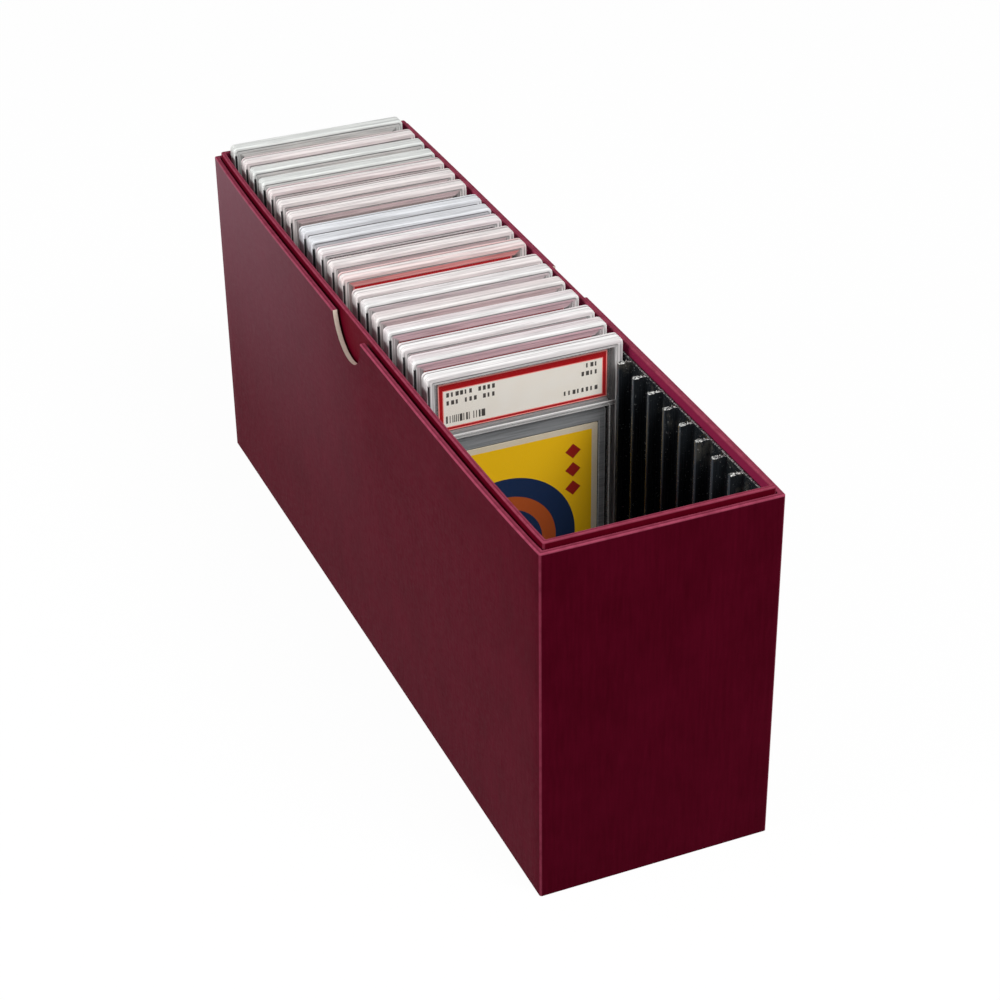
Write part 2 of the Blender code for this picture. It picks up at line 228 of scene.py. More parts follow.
def upright_plate(size, middle, radius, profile, y_middle, closed=False, steps=6, tightest=0.2 * MM):
    """A plate in the slab's plane: a round-cornered rectangle carried along a profile of (inset, depth,
    frost, painted shading). A closed profile makes a frame, and an open one a solid plate capped at both
    ends."""
    profile = np.asarray(profile, float)
    path = ring_path(steps=steps)
    x, z = rings(size[0] / 2, size[1] / 2, radius, profile[:, 0], path, tightest)
    y = np.broadcast_to(profile[:, 1:2] + y_middle, x.shape)
    points = np.stack([x + slab_aside, y, z + middle], -1)
    looks = {"frost": profile[:, 2:3], "tone": profile[:, 3:4]}
    return surface(points, wrap_rows=closed, wrap_columns=True, caps=not closed, **looks)


def linear(code):
    """An sRGB hex colour as linear RGBA."""
    value = np.array([int(code[i : i + 2], 16) for i in (1, 3, 5)]) / 255
    value = np.where(value <= 0.04045, value / 12.92, ((value + 0.055) / 1.055) ** 2.4)
    return (*value.tolist(), 1.0)


def plug(tree, made, inputs):
    """Set a node's inputs. A socket is joined, and a node is joined by its first output in use."""
    for key, value in inputs.items():
        if isinstance(value, bpy.types.Node):
            value = next(output for output in value.outputs if output.enabled)
        if isinstance(value, bpy.types.NodeSocket):
            tree.links.new(value, made.inputs[key])
        else:
            made.inputs[key].default_value = value


def node(tree, kind, inputs=None, **settings):
    """Add a shader node with its settings and its inputs."""
    made = tree.nodes.new("ShaderNode" + kind)
    for key, value in settings.items():
        setattr(made, key, value)
    plug(tree, made, inputs or {})
    return made


def new_material(name, **constants):
    """A Principled material, with some of its inputs set. Names are written with _ for a space."""
    material = bpy.data.materials.new(name)
    material.use_nodes = True
    tree = material.node_tree
    shader = tree.nodes["Principled BSDF"]
    plug(tree, shader, {key.replace("_", " "): value for key, value in constants.items()})
    return material, tree, shader


def wrapped_board(name, shade, warm, worn_and_lit, core, lining):
    """Linen-embossed paper pasted over greyboard: satin, upright slubs about 1.3 mm wide, slow cloudy
    changes of dye, and a paler colour where it folds over an edge, partly wear and partly a painted
    highlight. lined is where the lining paper covers the inside, raw is the die-cut edge of bare board,
    and a painted grey sheen, a painted reflection, lies on the back end of a wall."""
    sheen = {"Sheen_Weight": 0.12, "Sheen_Roughness": 0.35, "Sheen_Tint": (1.0, 0.12, 0.22, 1.0)}
    material, tree, shader = new_material(name, Specular_IOR_Level=0.01, **sheen)
    place = node(tree, "TexCoord").outputs["Object"]
    keys = ("lined", "wear", "raw", "fade")
    lined, wear, raw, fade = (node(tree, "Attribute", attribute_name=key).outputs["Fac"] for key in keys)
    slub_scale = (1 / (1.3 * MM), 1 / (1.3 * MM), 1 / (16 * MM))
    slub_place = node(tree, "Mapping", {"Vector": place, "Scale": slub_scale})
    slubs = node(tree, "TexNoise", {"Vector": slub_place, "Scale": 1.0, "Detail": 4.0, "Roughness": 0.6})
    dye = node(tree, "TexNoise", {"Vector": place, "Scale": 1 / (24 * MM), "Detail": 5.0, "Roughness": 0.65})
    both = node(tree, "Math", {0: slubs, 1: dye}, operation="ADD")
    spread = node(tree, "MapRange", {"Value": both, "From Min": 0.6, "From Max": 1.4})
    colour = node(tree, "Mix", {0: spread, MIX_A: linear(shade), MIX_B: linear(warm)}, data_type="RGBA")
    scuff = node(tree, "TexNoise", {"Vector": place, "Scale": 1 / (3 * MM), "Detail": 4.0})
    scuffed = node(tree, "MapRange", {"Value": scuff, "From Min": 0.2, "From Max": 0.6, "To Min": 0.6})
    rubbed_and_lit = node(tree, "Math", {0: wear, 1: scuffed}, operation="MULTIPLY")
    fibre = node(tree, "TexNoise", {"Vector": place, "Scale": 1 / (0.9 * MM), "Detail": 3.0})
    board = node(tree, "Mix", {0: fibre, MIX_A: linear(core), MIX_B: linear("#E6D6C8")}, data_type="RGBA")
    # The coats: lining paper, paler rims (wear and painted highlight), bare board and a painted grey sheen
    coats = ((lined, linear(lining)), (rubbed_and_lit, linear(worn_and_lit)), (raw, board), (fade, linear("#7E5C66")))
    for share, coat in coats:
        colour = node(tree, "Mix", {0: share, MIX_A: colour, MIX_B: coat}, data_type="RGBA")
    # Threads 0.5 mm wide, the finest that show at this size, one way up the wall and one across it,
    # which change along their length about every 4 mm
    wide = 1 / (0.5 * MM)
    long = 1 / (4 * MM)
    upright = node(tree, "Mapping", {"Vector": place, "Scale": (wide, wide, long)})
    across = node(tree, "Mapping", {"Vector": place, "Scale": (long, long, wide)})
    warp = node(tree, "TexNoise", {"Vector": upright, "Scale": 1.0, "Detail": 2.0})
    weft = node(tree, "TexNoise", {"Vector": across, "Scale": 1.0, "Detail": 2.0})
    weave = node(tree, "Math", {0: warp, 1: weft}, operation="ADD")
    bump = node(tree, "Bump", {"Height": weave, "Strength": 0.35, "Distance": 0.06 * MM})
    satin = {"From Min": 0.7, "From Max": 1.3, "To Min": 0.42, "To Max": 0.58}
    gloss = node(tree, "MapRange", {"Value": weave, **satin})
    plug(tree, shader, {"Base Color": colour, "Normal": bump, "Roughness": gloss})
    return material


def black_polystyrene(name):
    """Thermoformed black polystyrene sheet: glossy, with draw lines up the ribs and dust. The rib's tip
    carries a painted grey reflection that fades into painted shade lower down, and cut is the trimmed
    end, painted white in lumps, partly stress-whitening and partly painted glints."""
    material, tree, shader = new_material(name, Specular_IOR_Level=0.3)
    place = node(tree, "TexCoord").outputs["Object"]
    height = node(tree, "SeparateXYZ", {"Vector": place}).outputs["Z"]
    rub = node(tree, "Attribute", attribute_name="rub").outputs["Fac"]
    cut = node(tree, "Attribute", attribute_name="cut").outputs["Fac"]
    drawn_scale = (1 / (0.5 * MM), 1 / (0.5 * MM), 1 / (30 * MM))
    drawn_place = node(tree, "Mapping", {"Vector": place, "Scale": drawn_scale})
    drawn = node(tree, "TexNoise", {"Vector": drawn_place, "Scale": 1.0, "Detail": 3.0})
    shades = {MIX_A: linear("#0E1012"), MIX_B: linear("#22262A")}
    colour = node(tree, "Mix", {0: drawn, **shades}, data_type="RGBA")
    # The painted reflection on the tips fades into painted shade towards the foot
    upper = node(tree, "MapRange", {"Value": height, "From Min": 0.07, "From Max": 0.15})
    reflected_grey = node(tree, "Math", {0: rub, 1: upper}, operation="MULTIPLY")
    # Grey-olive patches within about 12 mm of the top
    patch_noise = node(tree, "TexNoise", {"Vector": place, "Scale": 1 / (7 * MM), "Detail": 5.0, "Roughness": 0.7})
    patches = node(tree, "MapRange", {"Value": patch_noise, "From Min": 0.52, "From Max": 0.66, "To Max": 0.8})
    near_top = node(tree, "MapRange", {"Value": height, "From Min": 0.138, "From Max": 0.150})
    top_patches = node(tree, "Math", {0: patches, 1: near_top}, operation="MULTIPLY")
    dust = node(tree, "TexNoise", {"Vector": place, "Scale": 1 / (0.8 * MM), "Detail": 2.0})
    specks = node(tree, "MapRange", {"Value": dust, "From Min": 0.66, "From Max": 0.74, "To Max": 0.55})
    crumb = node(tree, "TexNoise", {"Vector": place, "Scale": 1 / (0.9 * MM), "Detail": 3.0})
    crumbs = node(tree, "MapRange", {"Value": crumb, "From Min": 0.42, "From Max": 0.66})
    whitened_and_glinting = node(tree, "Math", {0: cut, 1: crumbs}, operation="MULTIPLY")
    # Coats: painted grey tip reflection, grey-olive patches, dust, and white ends, partly whitening, partly
    # painted glints
    coats = ((reflected_grey, "#3E444A"), (top_patches, "#4C4A44"), (specks, "#8A8C8C"), (whitened_and_glinting, "#D9DAD6"))
    for share, coat in coats:
        colour = node(tree, "Mix", {0: share, MIX_A: colour, MIX_B: linear(coat)}, data_type="RGBA")
    glossy = {"From Min": 0.3, "From Max": 0.7, "To Min": 0.16, "To Max": 0.30}
    gloss = node(tree, "MapRange", {"Value": drawn, **glossy})
    bump = node(tree, "Bump", {"Height": drawn, "Strength": 0.3, "Distance": 0.08 * MM})
    plug(tree, shader, {"Base Color": colour, "Roughness": gloss, "Normal": bump})
    return material


def clear_polystyrene(name, light, rosy, least, most):
    """Injection-moulded clear polystyrene. frost runs from 0 on a polished window to 1 on a textured
    edge, which scatters light. The painted shading runs from a painted dark, which stands for what a
    clear part shows, to the painted white highlight of a lit edge. A painted pink reflection of the
    label's red border lies in the plastic beside it, in the rosy colour, and along is 1 where the flow
    marks run up the slab instead of across it. least and most are how much a window and a frosted edge
    hide."""
    material, tree, shader = new_material(name, IOR=1.58, Specular_IOR_Level=0.10)
    place = node(tree, "TexCoord").outputs["Object"]
    keys = ("frost", "tone", "blush", "along")
    frost, tone, blush, along = (node(tree, "Attribute", attribute_name=key).outputs["Fac"] for key in keys)
    # Flow marks 0.6 mm wide, and about 18 mm long along the top or 12 mm long up the sides
    mark = 1 / (0.6 * MM)
    level_place = node(tree, "Mapping", {"Vector": place, "Scale": (1 / (18 * MM), mark, mark)})
    upright_place = node(tree, "Mapping", {"Vector": place, "Scale": (mark, mark, 1 / (12 * MM))})
    level_flow = node(tree, "TexNoise", {"Vector": level_place, "Scale": 1.0, "Detail": 3.0})
    upright_flow = node(tree, "TexNoise", {"Vector": upright_place, "Scale": 1.0, "Detail": 3.0})
    flow = node(tree, "Mix", {0: along, "A": level_flow, "B": upright_flow})
    streaks = {"From Min": 0.32, "From Max": 0.60, "To Min": 0.74, "To Max": 1.10}
    streak = node(tree, "MapRange", {"Value": flow, **streaks})
    # Painted light and shade: a painted dark mixed with the tint by the painted shading, broken up by the
    # flow marks
    lit = node(tree, "Math", {0: tone, 1: streak}, operation="MULTIPLY", use_clamp=True)
    # The tint takes a painted pink reflection of the label's red border, in the rosy colour
    tinted = node(tree, "Mix", {0: blush, MIX_A: linear(light), MIX_B: linear(rosy)}, data_type="RGBA")
    colour = node(tree, "Mix", {0: lit, MIX_A: linear("#1C1A20"), MIX_B: tinted}, data_type="RGBA")
    cover = node(tree, "MapRange", {"Value": frost, "To Min": least, "To Max": most})
    gloss = node(tree, "MapRange", {"Value": frost, "To Min": 0.08, "To Max": 0.42})
    bump = node(tree, "Bump", {"Height": flow, "Strength": 0.25, "Distance": 0.1 * MM})
    plug(tree, shader, {"Base Color": colour, "Alpha": cover, "Roughness": gloss, "Normal": bump})
    return material


def card_plane(tree):
    """The place on a piece, its x and z in millimetres from the slab's middle and foot, and 1 on the
    faces that look to the front."""
    coordinates = node(tree, "TexCoord")
    place = coordinates.outputs["Object"]
    split = node(tree, "SeparateXYZ", {"Vector": place})
    aside = node(tree, "Math", {0: split.outputs["X"], 1: -slab_aside}, operation="ADD")
    x = node(tree, "Math", {0: aside, 1: 1 / MM}, operation="MULTIPLY")
    raised = node(tree, "Math", {0: split.outputs["Z"], 1: -slab_foot}, operation="ADD")
    z = node(tree, "Math", {0: raised, 1: 1 / MM}, operation="MULTIPLY")
    facing = node(tree, "SeparateXYZ", {"Vector": coordinates.outputs["Normal"]})
    front = node(tree, "Math", {0: facing.outputs["Y"], 1: -0.5}, operation="LESS_THAN")
    return place, x, z, front


def rectangle_mask(tree, x, z, middle_x, middle_z, half_x, half_z):
    """1 inside a rectangle given in millimetres."""
    wide = node(tree, "Math", {0: x, 1: middle_x, 2: half_x}, operation="COMPARE")
    high = node(tree, "Math", {0: z, 1: middle_z, 2: half_z}, operation="COMPARE")
    return node(tree, "Math", {0: wide, 1: high}, operation="MULTIPLY")


def printed_blocks(tree, x, z, height, first, last, run, seed):
    """1 on a line of plain blocks at a height in millimetres, in the columns from first to last. The
    blocks have seeded widths, and every run-th one is left out."""
    steps = node(tree, "Math", {0: x, 1: BLOCK_PITCH}, operation="DIVIDE")
    column = node(tree, "Math", {0: steps}, operation="FLOOR")
    seeded = node(tree, "Math", {0: column, 1: seed}, operation="ADD")
    chance = node(tree, "TexWhiteNoise", {"W": seeded}, noise_dimensions="1D")
    width = node(tree, "MapRange", {"Value": chance, "To Min": 0.35, "To Max": 0.75})
    share = node(tree, "Math", {0: steps}, operation="FRACT")
    block = node(tree, "Math", {0: share, 1: width}, operation="LESS_THAN")
    place = node(tree, "Math", {0: seeded, 1: run}, operation="FLOORED_MODULO")
    grouped = node(tree, "Math", {0: place, 1: run - 1.5}, operation="LESS_THAN")
    kept = node(tree, "Math", {0: block, 1: grouped}, operation="MULTIPLY")
    middle = (first + last + 1) / 2 * BLOCK_PITCH
    area = rectangle_mask(tree, x, z, middle, height, (last + 1 - first) / 2 * BLOCK_PITCH, BLOCK_PITCH / 2)
    return node(tree, "Math", {0: area, 1: kept}, operation="MULTIPLY")


def printed_ticks(tree, x, z):
    """1 on a run of upright ticks low on the label's left, in columns that are inked by chance."""
    steps = node(tree, "Math", {0: x, 1: TICK_PITCH}, operation="DIVIDE")
    column = node(tree, "Math", {0: steps}, operation="FLOOR")
    chance = node(tree, "TexWhiteNoise", {"W": column}, noise_dimensions="1D")
    tick = node(tree, "Math", {0: chance, 1: 0.42}, operation="GREATER_THAN")
    area = rectangle_mask(tree, x, z, -24.5, LABEL_MIDDLE / MM - 5.5, 8.2, 1.6)
    return node(tree, "Math", {0: area, 1: tick}, operation="MULTIPLY")


def printed_label(name, glow, band, edge=0.45, plain=0.0):
    """Coated label paper: cream with a coloured border that is wider along the top, lines of plain
    blocks in the place of words, and a run of upright ticks. A pale line in the glow colour, a painted
    reflection of the border, runs outside the border, as wide as edge in millimetres, and a line of the
    same colour runs inside it. plain is how far the border fades into the paper."""
    material, tree, shader = new_material(name, Roughness=0.35, Specular_IOR_Level=0.3)
    place, x, z, front = card_plane(tree)
    middle = LABEL_MIDDLE / MM
    fibre = node(tree, "TexNoise", {"Vector": place, "Scale": 1 / (5 * MM), "Detail": 4.0})
    creams = {MIX_A: linear("#FAF2E4"), MIX_B: linear("#FFFBF2")}
    cream = node(tree, "Mix", {0: fibre, **creams}, data_type="RGBA")
    ink = printed_ticks(tree, x, z)
    for height, first, last, run, seed in BLOCK_LINES:
        blocks = printed_blocks(tree, x, z, middle + height, first, last, run, seed)
        ink = node(tree, "Math", {0: ink, 1: blocks}, operation="MAXIMUM")
    faced = node(tree, "Math", {0: ink, 1: front}, operation="MULTIPLY")
    inked = node(tree, "Mix", {0: faced, MIX_A: cream, MIX_B: linear("#4A4642")}, data_type="RGBA")
    half_width = LABEL_SIZE[0] / MM / 2
    half_height = LABEL_SIZE[1] / MM / 2
    # The field sits low, so that the border is wider along the top, and a pale line runs round it
    field_middle = middle - 0.75
    field_width = half_width - 2.2
    field_height = half_height - 2.45
    line = 0.35
    field = rectangle_mask(tree, x, z, 0.0, field_middle, field_width, field_height)
    with_line = rectangle_mask(tree, x, z, 0.0, field_middle, field_width + line, field_height + line)
    with_border = rectangle_mask(tree, x, z, 0.0, middle, half_width - edge, half_height - edge)
    bordered = node(tree, "Math", {0: with_border, 1: with_line}, operation="SUBTRACT")
    edging = node(tree, "Mix", {0: bordered, MIX_A: linear(glow), MIX_B: linear(band)}, data_type="RGBA")
    paled = node(tree, "Mix", {0: plain, MIX_A: edging, MIX_B: linear("#D6C4C2")}, data_type="RGBA")
    colour = node(tree, "Mix", {0: field, MIX_A: paled, MIX_B: inked}, data_type="RGBA")
    plug(tree, shader, {"Base Color": colour})
    return material


def printed_card(name, border, field, figure, sun, accent):
    """Printed card stock with a soft varnish: a pale border, a bright field, and plain shapes on it,
    a banded sunrise low on the left and three lozenges down the right. The back has ruled bars."""
    material, tree, shader = new_material(name, Roughness=0.32, IOR=1.47)
    place, x, z, front = card_plane(tree)
    middle = CARD_MIDDLE / MM
    half_width = CARD_SIZE[0] / MM / 2
    half_height = CARD_SIZE[1] / MM / 2
    low = middle - half_height
    high = middle + half_height
    grain = node(tree, "TexNoise", {"Vector": place, "Scale": 1 / (7 * MM), "Detail": 5.0})
    stock = node(tree, "Mix", {0: grain, MIX_A: linear(border), MIX_B: linear("#E8DFCC")}, data_type="RGBA")
    inside = rectangle_mask(tree, x, z, 0.0, middle, half_width - CARD_BORDER, half_height - CARD_BORDER)
    layers = [(inside, field)]
    flat = node(tree, "CombineXYZ", {"X": x, "Z": z})
    away = node(tree, "VectorMath", {0: flat, 1: (-9.0, 0.0, high - 48.0)}, operation="DISTANCE")
    for radius, shade in ((31.0, figure), (22.5, sun), (16.5, figure), (10.0, sun)):
        layers.append((node(tree, "Math", {0: away, 1: radius}, operation="LESS_THAN"), shade))
    layers += [
        (rectangle_mask(tree, x, z, 0.0, low + 19.0, 28.6, 12.0), accent),
        (rectangle_mask(tree, x, z, 0.0, low + 24.0, 28.6, 1.0), border),
        (rectangle_mask(tree, x, z, 0.0, low + 14.5, 22.0, 1.2), field),
    ]
    # A lozenge is where the distances across and up add up to less than its half diagonal
    beside = node(tree, "Math", {0: x, 1: -21.0}, operation="ADD")
    wide = node(tree, "Math", {0: beside}, operation="ABSOLUTE")
    for depth in (11.0, 19.5, 28.0):
        up = node(tree, "Math", {0: z, 1: depth - high}, operation="ADD")
        tall = node(tree, "Math", {0: up}, operation="ABSOLUTE")
        spread = node(tree, "Math", {0: wide, 1: tall}, operation="ADD")
        layers.append((node(tree, "Math", {0: spread, 1: 3.4}, operation="LESS_THAN"), accent))
    printed = stock
    for mask, shade in layers:
        kept = node(tree, "Math", {0: mask, 1: inside}, operation="MULTIPLY")
        printed = node(tree, "Mix", {0: kept, MIX_A: printed, MIX_B: linear(shade)}, data_type="RGBA")
    rows = node(tree, "Math", {0: z, 1: 6.0}, operation="DIVIDE")
    row = node(tree, "Math", {0: rows}, operation="FRACT")
    ruled = node(tree, "Math", {0: row, 1: 0.28}, operation="LESS_THAN")
    panel = rectangle_mask(tree, x, z, 0.0, middle - 6.0, 25.0, 30.0)
    bars = node(tree, "Math", {0: ruled, 1: panel}, operation="MULTIPLY")
    back = node(tree, "Mix", {0: bars, MIX_A: stock, MIX_B: linear(accent)}, data_type="RGBA")
    colour = node(tree, "Mix", {0: front, MIX_A: back, MIX_B: printed}, data_type="RGBA")
    plug(tree, shader, {"Base Color": colour})
    return material


def closed_cell_foam(name):
    """Charcoal polyethylene foam, sliced from a block: matt, with open cells about 0.8 mm wide."""
    material, tree, shader = new_material(name, Roughness=0.9)
    place = node(tree, "TexCoord").outputs["Object"]
    cells = node(tree, "TexVoronoi", {"Vector": place, "Scale": 1 / (0.8 * MM)})
    shades = {MIX_A: linear("#101113"), MIX_B: linear("#2C2D30")}
    colour = node(tree, "Mix", {0: cells, **shades}, data_type="RGBA")
    bump = node(tree, "Bump", {"Height": cells, "Strength": 0.6, "Distance": 0.2 * MM})
    plug(tree, shader, {"Base Color": colour, "Normal": bump})
    return material


def spring_out(springs, facing, y, z, half_y, low, high):
    """How far a long wall springs out: a fourth-power law along it and a square law up it. springs are
    those of the left and the right wall at the middle of the rim, and facing is -1 left and 1 right."""
    most = np.where(facing < 0, springs[0], springs[1])
    return facing * most * (1 - (y / half_y) ** 4) * np.clip((z - low) / (high - low), 0.0, 1.0) ** 2


def board_walls(half_x, half_y, low, high, board, springs, notched=False, painted_sheen_share=0.0):
    """Four walls of wrapped board as one band: the board's section carried round a rectangle with
    crisp corners. The long walls spring out, and may have a thumb notch, a circle cut from the middle
    of the rim. The last argument is how strongly a painted grey sheen, a painted reflection, lies on
    the left wall's back end."""
    fold = 0.5 * MM
    corner = 0.9 * MM
    paper = 0.12 * MM
    stations = np.linspace(-half_y + 8 * MM, half_y - 8 * MM, 29)
    if notched:
        reach = math.sqrt(NOTCH_RADIUS**2 - NOTCH_RISE**2)
        arc = np.linspace(-math.asin(reach / NOTCH_RADIUS), math.asin(reach / NOTCH_RADIUS), 41)
        cut = NOTCH_RADIUS * np.sin(arc)
        # The arc's ends stand just inside the stations at the rim, so that no two of them coincide
        cut[[0, -1]] *= 0.9995
        clear = np.abs(stations) > NOTCH_RADIUS * 1.05
        stations = np.concatenate([stations[clear], cut, [-reach, reach]])
    path = ring_path(np.linspace(-half_x + 6 * MM, half_x - 6 * MM, 7), stations, steps=4)
    # Rows of half the section, up the outer face and over its fold. The inner half mirrors them. A row
    # climbs by its share of the wall's height, less its drop.
    face_rows = 12
    bend = np.radians([0, 30, 60, 90])
    inset = np.append(np.zeros(face_rows), fold * (1 - np.cos(bend)))
    climb = np.append(np.linspace(0.0, 1.0, face_rows - 2), np.ones(2 + len(bend)))
    drop = np.concatenate([np.full(face_rows - 2, 2.4 * MM), [1.3 * MM, 0.9 * MM], fold * (1 - np.sin(bend))])
    inset = np.concatenate([inset, [fold + paper], board - inset[::-1]])[:, None]
    climb = np.concatenate([climb, [1.0], climb[::-1]])[:, None]
    drop = np.concatenate([drop, [0.0], drop[::-1]])[:, None]
    on_rim = np.zeros(inset.shape, bool)
    on_rim[face_rows:-face_rows] = True
    x, y = rings(half_x, half_y, corner, inset[:, 0], path)
    along = path[0][:, 1]
    facing_x = path[1][:, 0]
    straight = (np.abs(facing_x) > 0.999) & (np.abs(along) < 1.0)
    in_notch = np.zeros(len(along), bool)
    top = high
    if notched:
        in_notch = straight & (np.abs(along) < reach * 0.9999)
        depth = np.sqrt(NOTCH_RADIUS**2 - np.where(in_notch, along, 0.0) ** 2) - NOTCH_RISE
        top = np.where(in_notch, high - depth, high)
    # The rim is rounded by the fold of the paper, but the die-cut notch has a square edge
    drop = drop * np.where(in_notch & (drop <= fold), 0.0, 1.0)
    z = low + climb * (top - low) - drop * climb
    x = x + np.where(straight, spring_out(springs, facing_x, y, z, half_y, low, high), 0.0)
    # The rims are paler, partly from wear and partly as a painted highlight: the flats less than their
    # folds, and the right ones more than the others, a painted highlight where light falls on them
    flats = np.where(facing_x > 0.999, 0.7, 0.36)
    on_flat = np.abs(inset - board / 2) < board / 2 - fold
    wear = np.where(on_rim & ~in_notch, np.where(on_flat, flats, 1.0), 0.0)
    on_corner = (np.abs(path[1]) < 0.95).all(axis=1)
    wear = np.maximum(wear, np.where((inset < paper) & on_corner, 0.42, 0.0))
    raw = np.where((inset > paper) & (inset < board - paper) & in_notch, 1.0, 0.0)
    lined = np.where((inset > board - paper) & ~on_rim, 1.0, 0.0)
    # A painted grey sheen, a painted reflection, grows towards the back and the top of the left wall's outer
    # face
    paled = np.clip((y + 20 * MM) / (200 * MM), 0, 1) * np.clip((z - 20 * MM) / (130 * MM), 0, 1) ** 1.5
    fade = painted_sheen_share * paled * ((facing_x < -0.9) & (inset < paper))
    points = np.stack([x, y, z], -1)
    return surface(points, wrap_rows=True, wrap_columns=True, wear=wear, raw=raw, lined=lined, fade=fade)


def base_board(node_name, material, body):
    """A base board in the place of its CAD node, let 0.5 mm into the walls round it, so that no light
    shows between them."""
    low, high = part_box(node_name)
    grown = CAD_GAP + 0.5 * MM
    x, y = rings(high.x + grown, high.y + grown, 0.6 * MM, (0.0, 0.0), ring_path(steps=2))
    z = np.broadcast_to(np.array([[low.z + 0.05 * MM], [high.z]]), x.shape)
    panel = surface(np.stack([x, y, z], -1), wrap_columns=True, caps=True)
    make_piece(f"{node_name}_board", [panel], material, body, [node_name])


def rib_half_width(depth):
    """Half the rib's width at a depth from the plate's face: a splayed root, a web, and a bead that
    swells on a half cosine and closes on a quarter circle at the tip."""
    root = (BEAD_HALF - WEB_HALF) * np.clip(1 - depth / ROOT_DEPTH, 0, 1) ** 2
    swell = np.clip((depth - BEAD_START) / BEAD_SWELL, 0, 1)
    bead = (BEAD_HALF - WEB_HALF) * (1 - np.cos(math.pi * swell)) / 2
    tip = np.clip((depth - (RIB_REACH - TIP_RADIUS)) / TIP_RADIUS, 0, 1)
    closing = TIP_RADIUS * (1 - np.sqrt(1 - tip**2))
    return WEB_HALF + root + bead - closing


def slot_strip(side, low, high, back, face, end, wall):
    """A strip: the outline of the plate and its ribs, carried up the wall. Each rib's outline is its
    half width against its depth, out along one flank and back along the other. wall is the half
    length, the foot and the rim of the tray's wall, which the strip is glued to and springs out with."""
    # Over the splayed root, the bead's swell and its flank, and round its tip
    depth = np.concatenate(
        [
            np.linspace(0.0, ROOT_DEPTH, 4),
            np.linspace(BEAD_START, BEAD_START + BEAD_SWELL, 5),
            [4.2 * MM],
            RIB_REACH - TIP_RADIUS * (1 - np.sin(np.linspace(0, math.pi / 2, 6))),
        ]
    )
    half = rib_half_width(depth)
    depths = np.append(depth, depth[::-1])
    widths = np.append(-half, half[::-1])
    rib_x = np.tile(face - side * depths, RIBS)
    rib_y = (RIB_MIDDLES[:, None] + widths).ravel()
    # The last 0.25 mm of each rib's tip carries a painted grey reflection
    rib_tip_reflection = np.tile(np.where(depths > RIB_REACH - 0.25 * MM, 1.0, 0.0), RIBS)
    x = np.concatenate([[back, face], rib_x, [face, back]])
    y = np.concatenate([[-end, -end], rib_y, [end, end]])
    rub = np.concatenate([[0.0, 0.0], rib_tip_reflection, [0.0, 0.0]])
    shape = (7, len(x))
    y = np.broadcast_to(y, shape)
    z = np.broadcast_to(np.linspace(low, high, 7)[:, None], shape)
    x = x + spring_out(TRAY_SPRINGS, side, y, z, *wall)
    return surface(np.stack([x, y, z], -1), wrap_columns=True, caps=True, rub=rub)


def trimmed_ends(side, top, face, wall, rng):
    """The rough trimmed top of each rib: a lens a little narrower than the rib, lumpy on the bead, with
    a thin crest along the web and one burr that stands up. Its section is half an ellipse with seeded
    bumps, and the lens is low at both ends."""
    cells = 29
    depth = np.linspace(0.15 * MM, RIB_REACH - 0.08 * MM, cells)
    half = rib_half_width(depth) * 0.93
    across = np.linspace(-1.0, 1.0, 7)
    arch = np.sqrt(np.maximum(1 - across**2, 0.0))
    before_bead = np.clip((depth - 2.7 * MM) / (0.5 * MM), 0, 1)
    on_bead = before_bead * np.clip((RIB_REACH - depth) / (0.4 * MM), 0, 1)
    bumps = rng.uniform(0.1, 1.0, (RIBS, cells, len(across)))
    burr_at = rng.normal(2.15 * MM, 0.15 * MM, RIBS)
    burr_high = rng.uniform(0.5 * MM, 1.1 * MM, RIBS)
    burr = np.exp(-(((depth - burr_at[:, None]) / (0.16 * MM)) ** 2)) * burr_high[:, None]
    crest = 0.14 * MM + 0.5 * MM * on_bead
    height = crest[:, None] * arch * (0.45 + 0.75 * bumps) + burr[:, :, None] * arch
    height[:, [0, -1]] *= 0.3
    y = RIB_MIDDLES[:, None, None] + half[:, None] * across
    x = (face - side * depth)[:, None] + spring_out(TRAY_SPRINGS, side, y, top, *wall)
    upper = np.stack([x, y, top + height], -1)
    lower = upper[:, :, [-1, 0]].copy()
    lower[..., 2] = top - 0.12 * MM
    points = np.concatenate([upper, lower], axis=2)
    # The top is painted white in lumps, partly stress-whitening and partly painted glints
    return surface(points, wrap_columns=True, caps=True, cut=1.0)


def trimmed_edge(side, top, back, face, end, wall):
    """The sawn top edge of the strip's plate: a low half-round bead along the wall."""
    turn = np.linspace(0.0, math.pi, 6)
    y = np.linspace(-end, end, 61)[:, None]
    across = (back + face) / 2 + (face - back) / 2 * 0.96 * np.cos(turn)
    x = across + spring_out(TRAY_SPRINGS, side, y, top, *wall)
    z = np.broadcast_to(top - 0.05 * MM + 0.22 * MM * np.sin(turn), x.shape)
    points = np.stack([x, np.broadcast_to(y, x.shape), z], -1)
    # Its pale marks are partly stress-whitening and partly a painted highlight
    return surface(points, wrap_columns=True, caps=True, cut=0.42)


